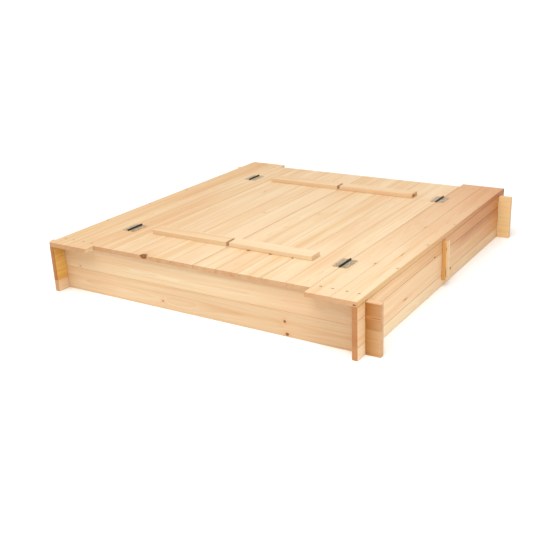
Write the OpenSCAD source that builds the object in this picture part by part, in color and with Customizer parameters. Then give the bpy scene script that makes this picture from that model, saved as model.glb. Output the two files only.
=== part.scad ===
// Square sandbox with a folding cover.
// The walls are boards that interlock at the corners like a log cabin. Along the
// left and right walls a strip of the cover is fixed. Each half of the cover folds
// in two: the seat panel turns over onto the fixed strip, and the backrest panel
// stands up behind it, so that the open cover makes two benches.
// The origin is at the centre of the footprint on the ground. +X runs along the
// front wall, +Y towards the back wall and +Z up. The cover is closed.

/* [Walls] */
// Length of every wall board, and so the width and depth of the box
board_len = 1200; // [1000:10:1400]
// How far a wall board runs on past the wall that it crosses
end_overhang = 45; // [30:1:60]
// Thickness of a wall board
wall_thick = 17; // [15:1:22]
// Height of a full wall board
wall_board_h = 77; // [65:1:95]
// Side play of a crossing board in its notch
notch_play = 0.5; // [0.2:0.1:1]
// Width of the planed chamfer along a wall board's edges
wall_chamfer = 1.5; // [0.5:0.1:3]

/* [Cover] */
// Thickness of a cover board
cover_thick = 15; // [12:1:20]
// How far the hinged panels reach past the front and back walls
panel_overhang = 10; // [0:1:20]
// Width of the chamfer along a cover board's edges
cover_chamfer = 2; // [0.5:0.1:3]
// Gap where the two halves of the cover meet
centre_gap = 3; // [2.5:0.5:6]
// Gap between two panels at a hinge line
hinge_gap = 2; // [1.6:0.1:3]
// Gap between two boards of one panel
seam_gap = 0.3; // [0.1:0.1:0.6]
// Length of the tongue that holds two boards of one panel together
tongue_len = 5; // [3:0.5:7]
// Thickness of the tongue
tongue_thick = 4.5; // [3:0.5:6]

/* [Battens] */
// Width of a backrest batten
batten_w = 48; // [35:1:60]
// Thickness of a backrest batten
batten_thick = 15; // [12:1:20]
// How far a batten reaches past the backrest panel, over the seat panel
batten_reach = 62; // [50:1:70]
// Gap between a batten's inner end and the middle of the cover
batten_end_gap = 5; // [3:1:12]
// Distance of the battens and hinges from the middle of the box
fitting_y = 363; // [300:1:400]
// Width of the upright batten on a side wall
wall_batten_w = 26; // [20:1:40]
// Thickness of the upright batten
wall_batten_thick = 15; // [12:1:20]
// Height of the upright batten's lower end above the ground
wall_batten_foot = 22; // [0:1:24]
// Distance from the upright batten's upper end to the top of the wall
wall_batten_drop = 4; // [1:1:20]

/* [Hinges] */
// Length of a hinge along its pin
hinge_len = 70; // [60:5:90]
// Width of one leaf from the pin's axis
leaf_w = 24; // [20:1:30]
// Thickness of a leaf
leaf_thick = 1.5; // [1.2:0.1:1.8]
// Outside diameter of the knuckles
knuckle_d = 6; // [5.6:0.1:7]
// Diameter of the pin
pin_d = 3; // [2.5:0.1:3.4]
// Radial play of the pin in the knuckles
pin_play = 0.05; // [0.03:0.01:0.08]

/* [Hidden] */
$fn = 32;
back_boards = 3;
seat_boards = 2;
strip_boards = 2;
half_boards = back_boards + seat_boards + strip_boards;

outer_half = board_len / 2 - end_overhang;
wall_mid = outer_half - wall_thick / 2;
wall_h = 2 * wall_board_h;
notch_depth = wall_board_h / 4;

pitch = outer_half / half_boards;
fold_x = back_boards * pitch;
hinge_x = (back_boards + seat_boards) * pitch;
cover_top = wall_h + cover_thick;
panel_half = outer_half + panel_overhang;
batten_chamfer = 1.5;

knuckles = 5;
knuckle_r = knuckle_d / 2;
knuckle_len = hinge_len / knuckles;
knuckle_gap = 0.3;
leaf_relief = 0.4;
pin_head_d = 4.6;
pin_head_h = 1;

leaf_screw = [3, 6, 12];
strip_screw = [4, 8, 40];
wall_batten_screw = [4, 8, 30];
back_screw = [4, 8, 25];
screw_play = 0.1;
screw_spread = 18;
overcut = 1;

timber = "#e6bf86";
timber_light = "#efd09c";
steel = "#a9abad";

left = -1;
right = 1;
front = -1;
back = 1;

// The cover's boards are counted from the middle outwards, and so are the lines
// between them. A line is the cover's middle, a hinge line, a seam or the outside.
function is_hinge_line(line) = line == back_boards || line == back_boards + seat_boards;
function is_seam(line) = line > 0 && line < half_boards && !is_hinge_line(line);
function line_gap(line) =
    line == 0 ? centre_gap : line == half_boards ? 0 : is_hinge_line(line) ? hinge_gap : seam_gap;

// The right half is drawn as it stands, and the left half is its mirror image.
module on_side(side) {
    mirror([side == left ? 1 : 0, 0, 0]) children();
}

// Cross-section with chamfered edges, centred on the origin.
module planed_section(wide, high, chamfer) {
    x = wide / 2;
    y = high / 2;
    polygon([
        [-x + chamfer, -y], [x - chamfer, -y], [x, -y + chamfer], [x, y - chamfer],
        [x - chamfer, y], [-x + chamfer, y], [-x, y - chamfer], [-x, -y + chamfer]
    ]);
}

// Countersunk wood screw that points down, with the top of its head at the origin.
module wood_screw(size) {
    shank_d = size[0];
    head_d = size[1];
    head_h = (head_d - shank_d) / 2;
    body_len = size[2] - head_h - shank_d;
    translate([0, 0, -head_h]) cylinder(h = head_h, d1 = shank_d, d2 = head_d);
    translate([0, 0, -head_h - body_len]) cylinder(h = body_len, d = shank_d);
    translate([0, 0, -size[2]]) cylinder(h = shank_d, d1 = 0.4, d2 = shank_d);
}

// ---- walls ----

// Board along X at the height of its lower edge, notched where the other walls cross.
module notched_board(base, high, notch_below, notch_above) {
    notch_w = wall_thick + 2 * notch_play;
    difference() {
        translate([0, 0, base + high / 2])
            rotate([90, 0, 90])
                linear_extrude(board_len, center = true)
                    planed_section(wall_thick, high, wall_chamfer);
        for (x = [-wall_mid, wall_mid]) {
            if (notch_below)
                translate([x - notch_w / 2, -wall_thick / 2 - overcut, base - overcut])
                    cube([notch_w, wall_thick + 2 * overcut, notch_depth + overcut]);
            if (notch_above)
                translate([x - notch_w / 2, -wall_thick / 2 - overcut, base + high - notch_depth])
                    cube([notch_w, wall_thick + 2 * overcut, notch_depth + overcut]);
        }
    }
}

// Front and back walls: two full boards, level 0 and 1.
module long_wall_board(end, level) {
    color(timber_light)
        translate([0, end * wall_mid, 0])
            notched_board(level * wall_board_h, wall_board_h, true, true);
}

// Left and right walls: a half board, a full board and a half board, level 0, 1 and 2.
module side_wall_board(side, level) {
    base = level == 0 ? 0 : (level - 0.5) * wall_board_h;
    high = level == 1 ? wall_board_h : wall_board_h / 2;
    color(timber)
        translate([side * wall_mid, 0, 0])
            rotate([0, 0, 90])
                notched_board(base, high, level > 0, level < 2);
}

// Upright batten outside the middle of a side wall. It ties the wall's three boards.
module wall_batten(side) {
    high = wall_h - wall_batten_drop - wall_batten_foot;
    color(timber_light)
        on_side(side)
            translate([outer_half + wall_batten_thick / 2, 0, wall_batten_foot])
                linear_extrude(high)
                    planed_section(wall_batten_thick, wall_batten_w, batten_chamfer);
}

// One screw into each half board and two into the middle board.
module wall_batten_screws() {
    heights = [
        (wall_batten_foot + wall_board_h / 2) / 2,
        wall_board_h * 0.8,
        wall_board_h * 1.2,
        (1.5 * wall_board_h + wall_h - wall_batten_drop) / 2
    ];
    color(steel)
        for (side = [left, right], z = heights)
            on_side(side)
                translate([outer_half + wall_batten_thick, 0, z])
                    rotate([0, 90, 0])
                        wood_screw(wall_batten_screw);
}

// ---- cover ----

// Cover board number i, counted from the middle. Boards of one panel share a
// tongue and groove, and boards at a hinge line have plain edges.
module cover_board(side, i, half_len) {
    x_in = i * pitch + line_gap(i) / 2;
    x_out = (i + 1) * pitch - line_gap(i + 1) / 2;
    wide = x_out - x_in;
    groove_thick = tongue_thick + 0.2;
    groove_len = tongue_len + seam_gap + 0.2;
    on_side(side)
        translate([(x_in + x_out) / 2, 0, wall_h + cover_thick / 2])
            rotate([90, 0, 0])
                linear_extrude(2 * half_len, center = true)
                    difference() {
                        union() {
                            planed_section(wide, cover_thick, cover_chamfer);
                            if (is_seam(i + 1))
                                translate([wide / 2 - overcut, -tongue_thick / 2])
                                    square([tongue_len + overcut, tongue_thick]);
                        }
                        if (is_seam(i))
                            translate([-wide / 2 - overcut, -groove_thick / 2])
                                square([groove_len + overcut, groove_thick]);
                    }
}

// Fixed strip: i is 0 for the inner and 1 for the outer board.
module strip_board(side, i) {
    color(timber_light) cover_board(side, back_boards + seat_boards + i, board_len / 2);
}

// Seat panel: i is 0 for the inner and 1 for the outer board.
module seat_board(side, i) {
    color(timber) cover_board(side, back_boards + i, panel_half);
}

// Backrest panel: i is 0 for the board at the middle of the cover.
module backrest_board(side, i) {
    color(timber_light) cover_board(side, i, panel_half);
}

// Batten across a backrest panel. It reaches out over the seat panel, and when the
// bench is open that end lies against the outside of the side wall.
module backrest_batten(side, end) {
    x_in = batten_end_gap;
    x_out = fold_x + batten_reach;
    color(timber)
        on_side(side)
            translate([(x_in + x_out) / 2, end * fitting_y, cover_top + batten_thick / 2])
                rotate([90, 0, 90])
                    linear_extrude(x_out - x_in, center = true)
                        planed_section(batten_w, batten_thick, batten_chamfer);
}

// Pairs of screws go into the front and back walls, and single ones into the side wall.
module strip_screws() {
    inner_mid = hinge_x + pitch / 2;
    outer_mid = inner_mid + pitch;
    color(steel)
        for (side = [left, right])
            on_side(side)
                translate([0, 0, cover_top]) {
                    for (end = [front, back], x = [inner_mid, outer_mid], dx = [-screw_spread, screw_spread])
                        translate([x + dx, end * wall_mid, 0]) wood_screw(strip_screw);
                    for (share = [-0.6, -0.2, 0.2, 0.6])
                        translate([wall_mid, share * outer_half, 0]) wood_screw(strip_screw);
                }
}

// Two screws hold each backrest board to each batten, driven from below.
module batten_screws(side) {
    color(steel)
        on_side(side)
            for (end = [front, back], i = [0 : back_boards - 1], dy = [-1, 1])
                translate([(i + 0.5) * pitch, end * fitting_y + dy * batten_w / 4, wall_h])
                    mirror([0, 0, 1])
                        wood_screw(back_screw);
}

// ---- hinges ----

// The places of a leaf's screws, from the middle of the hinge.
leaf_screw_spots = [
    for (i = [-1, 0, 1]) [leaf_w * (i == 0 ? 0.72 : 0.52), i * hinge_len * 0.35]
];

// Hinge leaf that lies on z = 0 and reaches along +X. The pin's axis runs along Y,
// above the origin. first is its first knuckle: 0 for the leaf with three knuckles
// and 1 for the leaf with two.
module hinge_leaf(first) {
    leaf_hole_d = leaf_screw[0] + 2 * screw_play;
    sink_d = leaf_screw[1] + 2 * screw_play;
    color(steel)
        difference() {
            union() {
                difference() {
                    translate([0, -hinge_len / 2, 0]) cube([leaf_w, hinge_len, leaf_thick]);
                    for (k = [1 - first : 2 : knuckles - 1])
                        translate([-overcut, k * knuckle_len - hinge_len / 2, -overcut])
                            cube([
                                knuckle_r + leaf_relief + overcut,
                                knuckle_len,
                                leaf_thick + 2 * overcut
                            ]);
                }
                for (k = [first : 2 : knuckles - 1])
                    translate([0, k * knuckle_len - hinge_len / 2 + knuckle_gap / 2, knuckle_r])
                        rotate([-90, 0, 0])
                            cylinder(h = knuckle_len - knuckle_gap, r = knuckle_r);
            }
            translate([0, -hinge_len / 2 - overcut, knuckle_r])
                rotate([-90, 0, 0])
                    cylinder(h = hinge_len + 2 * overcut, d = pin_d + 2 * pin_play);
            for (spot = leaf_screw_spots)
                translate([spot[0], spot[1], leaf_thick]) {
                    translate([0, 0, -leaf_thick - overcut])
                        cylinder(h = leaf_thick + 2 * overcut, d = leaf_hole_d);
                    translate([0, 0, -(sink_d - leaf_hole_d) / 2])
                        cylinder(h = (sink_d - leaf_hole_d) / 2, d1 = leaf_hole_d, d2 = sink_d);
                }
        }
}

module hinge_pin() {
    translate([0, -hinge_len / 2, knuckle_r])
        rotate([-90, 0, 0]) {
            cylinder(h = hinge_len, d = pin_d);
            translate([0, 0, -pin_head_h]) cylinder(h = pin_head_h, d = pin_head_d);
            translate([0, 0, hinge_len]) cylinder(h = pin_head_h, d = pin_head_d);
        }
}

module leaf_screws() {
    for (spot = leaf_screw_spots)
        translate([spot[0], spot[1], leaf_thick]) wood_screw(leaf_screw);
}

// Places a hinge on top of the line between the fixed strip and the seat panel.
// out is 1 for what lies on the strip and -1 for what lies on the seat panel.
module on_top_hinge(side, end, out) {
    on_side(side)
        translate([hinge_x, end * fitting_y, cover_top])
            mirror([out == 1 ? 0 : 1, 0, 0])
                children();
}

// Places a hinge under the fold between the seat panel and the backrest panel.
// out is 1 for what lies under the seat panel and -1 under the backrest panel.
module on_fold_hinge(side, end, out) {
    on_side(side)
        translate([fold_x, end * fitting_y, wall_h])
            mirror([0, 0, 1])
                mirror([out == 1 ? 0 : 1, 0, 0])
                    children();
}

module strip_leaf(side, end) {
    on_top_hinge(side, end, 1) hinge_leaf(0);
}

module seat_leaf(side, end) {
    on_top_hinge(side, end, -1) hinge_leaf(1);
}

module seat_fold_leaf(side, end) {
    on_fold_hinge(side, end, 1) hinge_leaf(0);
}

module backrest_leaf(side, end) {
    on_fold_hinge(side, end, -1) hinge_leaf(1);
}

module strip_hinge_pins() {
    color(steel)
        for (side = [left, right], end = [front, back])
            on_top_hinge(side, end, 1) hinge_pin();
}

module strip_leaf_screws() {
    color(steel)
        for (side = [left, right], end = [front, back])
            on_top_hinge(side, end, 1) leaf_screws();
}

module fold_hinge_pins(side) {
    color(steel)
        for (end = [front, back])
            on_fold_hinge(side, end, 1) hinge_pin();
}

module seat_leaf_screws(side) {
    color(steel)
        for (end = [front, back]) {
            on_top_hinge(side, end, -1) leaf_screws();
            on_fold_hinge(side, end, 1) leaf_screws();
        }
}

module backrest_leaf_screws(side) {
    color(steel)
        for (end = [front, back])
            on_fold_hinge(side, end, -1) leaf_screws();
}

// ---- the assembly ----

long_wall_board(front, 0);  // front_wall_lower_board
long_wall_board(front, 1);  // front_wall_upper_board
long_wall_board(back, 0);  // back_wall_lower_board
long_wall_board(back, 1);  // back_wall_upper_board
side_wall_board(left, 0);  // left_wall_bottom_board
side_wall_board(left, 1);  // left_wall_middle_board
side_wall_board(left, 2);  // left_wall_top_board
side_wall_board(right, 0);  // right_wall_bottom_board
side_wall_board(right, 1);  // right_wall_middle_board
side_wall_board(right, 2);  // right_wall_top_board
wall_batten(left);  // left_wall_batten
wall_batten(right);  // right_wall_batten
wall_batten_screws();

strip_board(left, 0);  // left_strip_inner_board
strip_board(left, 1);  // left_strip_outer_board
strip_board(right, 0);  // right_strip_inner_board
strip_board(right, 1);  // right_strip_outer_board
strip_screws();
strip_leaf(left, front);  // left_strip_front_leaf
strip_leaf(left, back);  // left_strip_back_leaf
strip_leaf(right, front);  // right_strip_front_leaf
strip_leaf(right, back);  // right_strip_back_leaf
strip_hinge_pins();
strip_leaf_screws();

seat_board(left, 0);  // left_seat_inner_board
seat_board(left, 1);  // left_seat_outer_board
seat_leaf(left, front);  // left_seat_front_leaf
seat_leaf(left, back);  // left_seat_back_leaf
seat_fold_leaf(left, front);  // left_seat_front_fold_leaf
seat_fold_leaf(left, back);  // left_seat_back_fold_leaf
fold_hinge_pins(left);  // left_fold_hinge_pins
seat_leaf_screws(left);  // left_seat_leaf_screws
seat_board(right, 0);  // right_seat_inner_board
seat_board(right, 1);  // right_seat_outer_board
seat_leaf(right, front);  // right_seat_front_leaf
seat_leaf(right, back);  // right_seat_back_leaf
seat_fold_leaf(right, front);  // right_seat_front_fold_leaf
seat_fold_leaf(right, back);  // right_seat_back_fold_leaf
fold_hinge_pins(right);  // right_fold_hinge_pins
seat_leaf_screws(right);  // right_seat_leaf_screws

backrest_board(left, 0);  // left_backrest_top_board
backrest_board(left, 1);  // left_backrest_middle_board
backrest_board(left, 2);  // left_backrest_bottom_board
backrest_batten(left, front);  // left_backrest_front_batten
backrest_batten(left, back);  // left_backrest_back_batten
backrest_leaf(left, front);  // left_backrest_front_leaf
backrest_leaf(left, back);  // left_backrest_back_leaf
backrest_leaf_screws(left);  // left_backrest_leaf_screws
batten_screws(left);  // left_batten_screws
backrest_board(right, 0);  // right_backrest_top_board
backrest_board(right, 1);  // right_backrest_middle_board
backrest_board(right, 2);  // right_backrest_bottom_board
backrest_batten(right, front);  // right_backrest_front_batten
backrest_batten(right, back);  // right_backrest_back_batten
backrest_leaf(right, front);  // right_backrest_front_leaf
backrest_leaf(right, back);  // right_backrest_back_leaf
backrest_leaf_screws(right);  // right_backrest_leaf_screws
batten_screws(right);  // right_batten_screws
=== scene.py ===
import math
import random
from functools import partial

import bmesh
import bpy
from mathutils import Matrix, Vector


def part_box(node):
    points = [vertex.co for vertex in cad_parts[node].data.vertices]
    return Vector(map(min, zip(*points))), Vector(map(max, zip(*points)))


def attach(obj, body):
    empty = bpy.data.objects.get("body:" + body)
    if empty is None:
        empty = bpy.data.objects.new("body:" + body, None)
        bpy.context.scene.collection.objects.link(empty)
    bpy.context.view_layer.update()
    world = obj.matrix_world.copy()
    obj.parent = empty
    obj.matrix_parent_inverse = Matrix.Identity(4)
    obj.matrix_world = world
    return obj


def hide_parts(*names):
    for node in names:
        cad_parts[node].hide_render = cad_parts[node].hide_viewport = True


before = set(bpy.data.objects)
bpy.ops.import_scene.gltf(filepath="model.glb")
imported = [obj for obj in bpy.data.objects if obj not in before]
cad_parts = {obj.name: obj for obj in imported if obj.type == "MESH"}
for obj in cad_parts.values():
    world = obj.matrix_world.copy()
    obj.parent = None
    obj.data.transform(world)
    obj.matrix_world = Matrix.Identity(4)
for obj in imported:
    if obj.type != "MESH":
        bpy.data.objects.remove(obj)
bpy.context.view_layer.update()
scene = bpy.context.scene

# Lengths are in metres. X runs along the front wall, Y towards the back wall, Z up.
sides = {"left": -1, "right": 1}
ends = {"front": -1, "back": 1}


def toLinear(hexColour):
    channels = [int(hexColour[i:i + 2], 16) / 255 for i in (1, 3, 5)]
    linear = [c / 12.92 if c <= 0.04045 else ((c + 0.055) / 1.055) ** 2.4 for c in channels]
    return (*linear, 1.0)


def addNode(tree, kind, inputs=None, **settings):
    # A socket is given by name, or by number where names repeat. A value may be another node,
    # whose first working output is used, or one of its outputs.
    node = tree.nodes.new(kind)
    for setting, value in settings.items():
        setattr(node, setting, value)
    for socket, value in (inputs or {}).items():
        if isinstance(value, bpy.types.Node):
            value = next(output for output in value.outputs if output.enabled)
        if isinstance(value, bpy.types.NodeSocket):
            tree.links.new(value, node.inputs[socket])
        elif value is not None:
            node.inputs[socket].default_value = value
    return node


def newMaterial(name):
    material = bpy.data.materials.new(name)
    material.use_nodes = True
    tree = material.node_tree
    return material, partial(addNode, tree), tree.links.new, tree.nodes["Principled BSDF"].inputs


def addPiece(name, data):
    piece = bpy.data.objects.new(name, data)
    scene.collection.objects.link(piece)
    return piece


def builtMesh(name, builder):
    mesh = bpy.data.meshes.new(name)
    builder.to_mesh(mesh)
    builder.free()
    return mesh


def keepValues(mesh, name, kind, domain, values):
    field = "vector" if kind == "FLOAT_VECTOR" else "value"
    mesh.attributes.new(name, kind, domain).data.foreach_set(field, values)


def pieceName(node):
    first, *rest = node.split("_")
    return first + "".join(part.capitalize() for part in rest)


def applyModifiers(piece):
    # Turns what the modifiers make into the piece's own plain mesh.
    shown = piece.evaluated_get(bpy.context.evaluated_depsgraph_get())
    mesh = bpy.data.meshes.new_from_object(shown)
    piece.modifiers.clear()
    piece.data = mesh
    return mesh


def smoothFaces(piece, sharpAngle=50):
    # Rounded edges shade smoothly, and the wide flat faces stay flat.
    for face in piece.data.polygons:
        face.use_smooth = True
    piece.data.set_sharp_from_angle(angle=math.radians(sharpAngle))
    weighted = piece.modifiers.new("flatFacesStayFlat", "WEIGHTED_NORMAL")
    weighted.keep_sharp = True
    applyModifiers(piece)


def newTree(name, sockets):
    tree = bpy.data.node_groups.new(name, "GeometryNodeTree")
    tree.interface.new_socket("Geometry", in_out="INPUT", socket_type="NodeSocketGeometry")
    for label, kind in sockets.items():
        tree.interface.new_socket(label, in_out="INPUT", socket_type="NodeSocket" + kind)
    tree.interface.new_socket("Geometry", in_out="OUTPUT", socket_type="NodeSocketGeometry")
    return tree, addNode(tree, "NodeGroupInput").outputs


def endTree(tree, placed, material):
    real = addNode(tree, "GeometryNodeRealizeInstances", {"Geometry": placed})
    finished = addNode(tree, "GeometryNodeSetMaterial", {"Geometry": real, "Material": material})
    addNode(tree, "NodeGroupOutput", {0: finished})
    return tree


def runTree(piece, tree, **values):
    # The inputs are set by identifier before the piece is first evaluated.
    modifier = piece.modifiers.new(tree.name, "NODES")
    modifier.node_group = tree
    for item in tree.interface.items_tree:
        if item.in_out == "INPUT" and item.name in values:
            modifier[item.identifier] = values[item.name]
    return applyModifiers(piece)


studio = {
    "cameraPlace": (1.4257, -2.3173, 0.9885),
    "cameraTurn": (68.608, 2.253, 31.798),
    "lens": 52.585,
    "sensorWidth": 36.0,
    "floorSize": 60.0,
    "floorColour": "#F9F9F8",
    "floorRoughness": 0.9,
    "skyStrength": 0.72,
    "keyHeight": 68.0,        # degrees above the floor
    "keySide": -12.0,         # degrees left of the front wall's middle
    "keyStrength": 1.45,
    "keySoftness": 50.0,      # degrees that the soft key spans
    "softboxes": {            # place, what it is aimed at, size, power
        "overhead": ((0.5, -1.2, 1.9), (0.1, -0.2, 0.1), 1.3, 13.0),
        "fill": ((2.0, -0.9, 0.5), (0.55, -0.3, 0.1), 0.8, 7.5),
    },
}

cameraData = bpy.data.cameras.new("camera")
cameraData.lens = studio["lens"]
cameraData.sensor_width = studio["sensorWidth"]
camera = addPiece("camera", cameraData)
camera.location = studio["cameraPlace"]
camera.rotation_euler = [math.radians(turn) for turn in studio["cameraTurn"]]
scene.camera = camera
scene.view_settings.view_transform = "Standard"

sky = bpy.data.worlds.new("studioSky")
sky.use_nodes = True
sky.node_tree.nodes["Background"].inputs["Color"].default_value = (1.0, 1.0, 1.0, 1.0)
sky.node_tree.nodes["Background"].inputs["Strength"].default_value = studio["skyStrength"]
scene.world = sky

keyLight = bpy.data.lights.new("keyLight", "SUN")
keyLight.energy = studio["keyStrength"]
keyLight.angle = math.radians(studio["keySoftness"])
keyLamp = addPiece("keyLight", keyLight)
keyLamp.rotation_euler = (math.radians(90 - studio["keyHeight"]), 0, math.radians(studio["keySide"]))

for softboxName, (softboxPlace, aim, softboxSize, power) in studio["softboxes"].items():
    softbox = bpy.data.lights.new(softboxName, "AREA")
    softbox.size = softboxSize
    softbox.energy = power
    softboxLamp = addPiece(softboxName, softbox)
    softboxLamp.location = softboxPlace
    softboxLamp.rotation_euler = (Vector(aim) - Vector(softboxPlace)).to_track_quat("-Z", "Y").to_euler()

# Painted floor: even, without gloss.
floorMaterial, _, _, floorSurface = newMaterial("matteStudioFloor")
floorSurface["Base Color"].default_value = toLinear(studio["floorColour"])
floorSurface["Roughness"].default_value = studio["floorRoughness"]
floorMesh = bpy.data.meshes.new("floor")
half = studio["floorSize"] / 2
floorCorners = [(-half, -half, 0), (half, -half, 0), (half, half, 0), (-half, half, 0)]
floorMesh.from_pydata(floorCorners, [], [(0, 1, 2, 3)])
floorMesh.materials.append(floorMaterial)
floor = addPiece("floor", floorMesh)
print("stage: camera, floor and light are set")


timberLook = {
    "pale": "#E3CDA9",
    "honey": "#D6AE7B",
    "rosy": "#F4D8C4",        # laid over the colour in slow patches
    "latewood": "#CB9861",
    "fibreTint": "#D9B384",
    "endTint": "#CEA67D",
    "jointShadeTint": "#B98555",   # painted shade in the vee joints, with a little dirt on the planed edges
    "knotHeart": "#945F2C",
    "knotRim": "#663C1B",
    "knotHalo": "#CE9459",
    "ringWidth": 0.0024,      # a spruce grows 2 to 3 mm a year
    "unevenYears": 2.2,
    "yearSpacing": 90.0,      # changes from wide to narrow rings, per metre
    "yearShades": ((0.45, 0.12), (0.84, 0.85), (0.93, 1.0)),  # place in the year, how dark
    "wander": 0.026,          # how far the rings wander along a board
    "ringShade": (0.36, 0.05),      # by the fine noise, and everywhere
    "endRingShade": 0.35,
    "honeyWeights": {"broad": 1.5, "streak": 1.6, "fine": 0.9},
    "honeyStart": 1.66,       # the noises have to add up to this before honey shows
    "rosyRange": (0.38, 0.62),
    "rosyMost": 0.35,
    "fibreShade": 0.22,
    "clearWood": 50.0,        # radii from a knot where there is none
    "knotPush": 0.010,        # how far the rings bend round a knot
    "ragged": 0.6,            # unevenness of a knot's outline, in radii
    "rimStart": 0.75,         # radii
    "knotEdge": (1.15, 0.70),       # radii where the knot begins and is full
    "haloFade": 0.75,         # how fast the halo fades with each radius
    "roughness": 0.46,
    "roughSpread": 0.22,
    "fibreRelief": 0.7,
    "ringRelief": 0.5,
    "reliefStrength": 0.35,
    "reliefDepth": 0.0004,
    "ior": 1.5,
    "noises": {               # spot width across the grain, along it, and detail
        "bend": (0.16, 0.55, 1.5),
        "patch": (0.11, 0.50, 1.0),
        "broad": (0.050, 1.50, 2.0),
        "streak": (0.018, 0.90, 3.0),
        "fine": (0.005, 0.32, 2.0),
        "fibre": (0.0012, 0.05, 2.0),   # coarser than real fibres, so that they show
        "ragged": (0.004, 0.004, 2.0),
    },
}


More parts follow.
